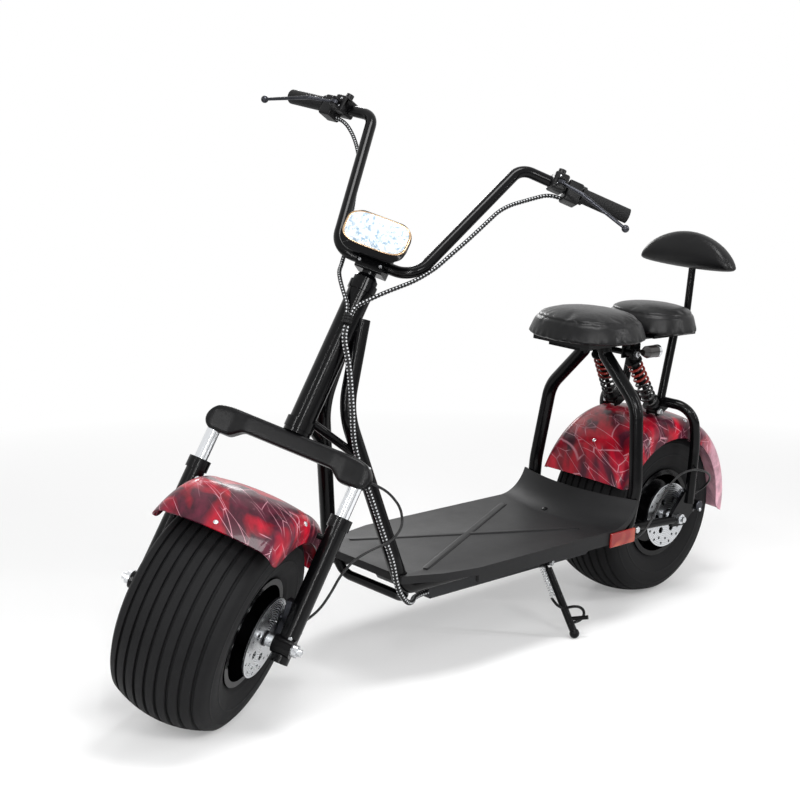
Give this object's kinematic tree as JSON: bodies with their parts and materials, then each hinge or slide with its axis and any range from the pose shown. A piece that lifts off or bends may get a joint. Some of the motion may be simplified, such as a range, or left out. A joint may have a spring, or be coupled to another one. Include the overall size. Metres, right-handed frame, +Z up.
{
  "type": "electric chopper scooter",
  "caption": "Fat-tyre electric two-wheeler with tall handlebar, low deck over a battery box, two seats and a backrest, leaning on its side stand.",
  "frame": {"origin": "on the floor under the middle of the scooter's box, as it parks on its side stand", "axes": "+X forward along the frame, +Y left, +Z up"},
  "size_m": [1.8674, 0.7787, 1.2855],
  "materials": {
    "black_paint": "gloss",
    "box_paint": "gloss",
    "caliper_metal": "satin",
    "chrome": "polished",
    "damper": "satin",
    "deck_plastic": "matte",
    "disc_steel": "brushed",
    "grip_rubber": "matte",
    "guard_plastic": "gloss",
    "hose_rubber": "satin",
    "lamp_plastic": "gloss",
    "lens": "clear",
    "loom_sleeve": "braided",
    "reflector": "gloss",
    "rim_paint": "gloss",
    "seat_vinyl": "satin",
    "spring_steel": "gloss",
    "switch_plastic": "matte",
    "tyre_rubber": "matte"
  },
  "bodies": {
    "frame": {"front_frame": "black_paint", "deck_frame": "black_paint", "seat_frame": "black_paint", "battery_box": "box_paint", "deck_tray": "deck_plastic", "swingarm": "black_paint", "rear_axle": "chrome", "rear_mudguard": "guard_plastic", "shocks": "damper", "shock_springs": "spring_steel", "front_seat": "seat_vinyl", "front_seat_pan": "black_paint", "rear_seat": "seat_vinyl", "rear_seat_support": "black_paint", "backrest_post": "black_paint", "backrest_pad": "seat_vinyl", "turn_signals": "lamp_plastic", "tail_lamp": "lamp_plastic", "rear_caliper": "caliper_metal", "stand_bracket": "black_paint", "steering_loom": "loom_sleeve", "frame_loom": "loom_sleeve", "rear_brake_hose": "hose_rubber", "side_reflectors": "reflector"},
    "steering": {"steering_stem": "black_paint", "fork_bridge": "black_paint", "fork_stanchions": "chrome", "fork_lowers": "black_paint", "front_axle": "chrome", "front_mudguard": "guard_plastic", "front_caliper": "caliper_metal", "handlebar": "black_paint", "bar_clamp": "black_paint", "headlamp_shell": "black_paint", "headlamp_lens": "lens", "grips": "grip_rubber", "switch_housings": "switch_plastic", "lever_perches": "caliper_metal", "brake_levers": "caliper_metal", "bar_looms": "loom_sleeve", "front_brake_hose": "hose_rubber"},
    "front_wheel": {"front_tyre": "tyre_rubber", "front_rim": "rim_paint", "front_disc": "disc_steel"},
    "rear_wheel": {"rear_tyre": "tyre_rubber", "rear_rim": "rim_paint", "rear_disc": "disc_steel"},
    "side_stand": {"side_stand": "black_paint"}
  },
  "joints": [
    {"name": "steering", "type": "hinge", "parent": "frame", "child": "steering", "pos_m": [0.69272, 0.01774, 0.22067], "axis": [-0.486, 0.061, 0.8718], "range_deg": [-62, 0], "deforming": ["steering_loom"]},
    {"name": "front_wheel_spin", "type": "hinge", "parent": "steering", "child": "front_wheel", "pos_m": [0.7062, 0.02751, 0.2275], "axis": [-0.45, 0.8377, -0.3095], "continuous": true},
    {"name": "rear_wheel_spin", "type": "hinge", "parent": "frame", "child": "rear_wheel", "pos_m": [-0.65155, 0.01835, 0.2275], "axis": [0.0001, 0.9976, -0.0698], "continuous": true},
    {"name": "side_stand_fold", "type": "hinge", "parent": "frame", "child": "side_stand", "pos_m": [-0.19048, 0.12533, 0.18107], "axis": [-0.4225, 0.9041, -0.0638], "range_deg": [0, 88]}
  ]
}
